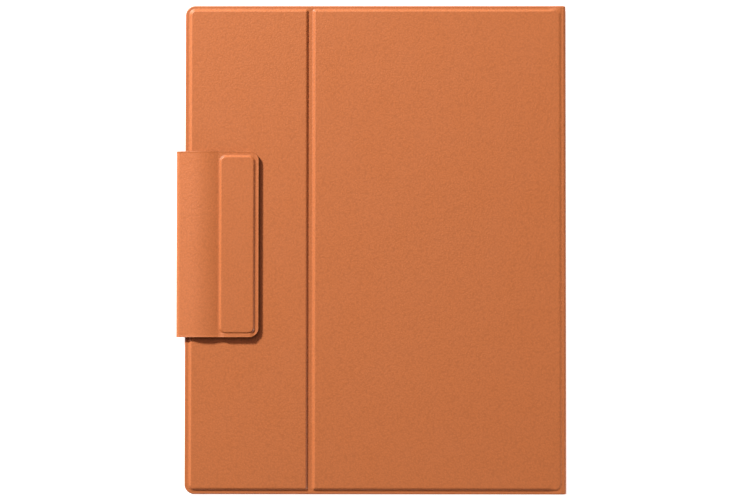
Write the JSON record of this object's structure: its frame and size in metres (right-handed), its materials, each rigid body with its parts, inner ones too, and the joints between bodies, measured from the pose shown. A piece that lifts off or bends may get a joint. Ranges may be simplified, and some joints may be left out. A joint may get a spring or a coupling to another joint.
{
  "type": "e-reader in folio case",
  "caption": "Slim tablet-size e-reader inside a leather folio with a folding strip cover and a magnetic clasp that rolls over the free edge.",
  "frame": {"origin": "middle of the underside, on the resting face of the back cover", "axes": "+X towards the spine, +Y up the page, +Z out of the front cover"},
  "size_m": [0.1925, 0.2416, 0.012],
  "materials": {
    "leather": "satin fine-grained",
    "lining": "matte microfibre",
    "board": "matte",
    "magnet": "nickel plated",
    "shell": "anodised, satin",
    "lens": "etched, low gloss",
    "mask": "printed, matte",
    "light_guide": "clear",
    "led": "gloss",
    "epaper": "matte",
    "flex": "satin",
    "circuit": "solder mask",
    "frame_metal": "cast",
    "steel": "brushed",
    "battery": "foil pouch",
    "black_plastic": "matte",
    "button": "satin"
  },
  "bodies": {
    "back_cover": {"back_skin": "leather", "back_board": "board", "back_lining": "lining", "back_magnets": "magnet", "clasp_root_strap": "leather", "rear_shell": "shell", "front_frame": "shell", "front_lens": "lens", "bezel_mask": "mask", "light_guide": "light_guide", "led_bar": "led", "epaper_panel": "epaper", "panel_flex": "flex", "digitizer_board": "circuit", "mid_frame": "frame_metal", "frame_screws": "steel", "main_board": "circuit", "processor_shield": "steel", "power_shield": "steel", "battery_cells": "battery", "battery_lead": "flex", "usb_c_port": "steel", "speakers": "black_plastic", "microphone": "steel", "hall_sensor": "black_plastic", "antenna": "flex", "status_light_pipe": "light_guide", "power_switch": "steel", "reader_magnets": "magnet"},
    "spine": {"spine_skin": "leather", "spine_board": "board", "spine_lining": "lining"},
    "cover_panel": {"panel_skin": "leather", "panel_board": "board", "panel_lining": "lining", "wake_magnet": "magnet"},
    "cover_strip": {"strip_skin": "leather", "strip_board": "board", "strip_lining": "lining", "keeper_magnets": "magnet"},
    "clasp_wall": {"clasp_wall_strap": "leather"},
    "clasp_tongue": {"clasp_tongue_skin": "leather", "clasp_tongue_lining": "lining", "clasp_stiffener": "board", "clasp_magnets": "magnet"},
    "power_button": {"power_button_cap": "button"}
  },
  "joints": [
    {"name": "spine_hinge", "type": "hinge", "parent": "back_cover", "child": "spine", "pos_m": [0.09295, 0, 0.0014], "axis": [0, 1, 0], "range_deg": [0, 90]},
    {"name": "cover_hinge", "type": "hinge", "parent": "spine", "child": "cover_panel", "pos_m": [0.09295, 0, 0.00795], "axis": [0, 1, 0], "range_deg": [0, 90]},
    {"name": "strip_fold", "type": "hinge", "parent": "cover_panel", "child": "cover_strip", "pos_m": [-0.0327, 0, 0.0083], "axis": [0, -1, 0], "range_deg": [-125, 0]},
    {"name": "clasp_lower_bend", "type": "hinge", "parent": "back_cover", "child": "clasp_wall", "pos_m": [-0.09689, 0, 0.00256], "axis": [0, -1, 0], "range_deg": [0, 90]},
    {"name": "clasp_upper_bend", "type": "hinge", "parent": "clasp_wall", "child": "clasp_tongue", "pos_m": [-0.09689, 0, 0.00954], "axis": [0, -1, 0], "range_deg": [0, 90]},
    {"name": "power_button_press", "type": "slide", "parent": "back_cover", "child": "power_button", "axis": [0, -1, 0], "range_m": [0, 0.0003], "stiffness_N_per_m": 3000}
  ],
  "couplings": [
    {"joint": "clasp_upper_bend", "follows": "clasp_lower_bend", "ratio": 1}
  ]
}
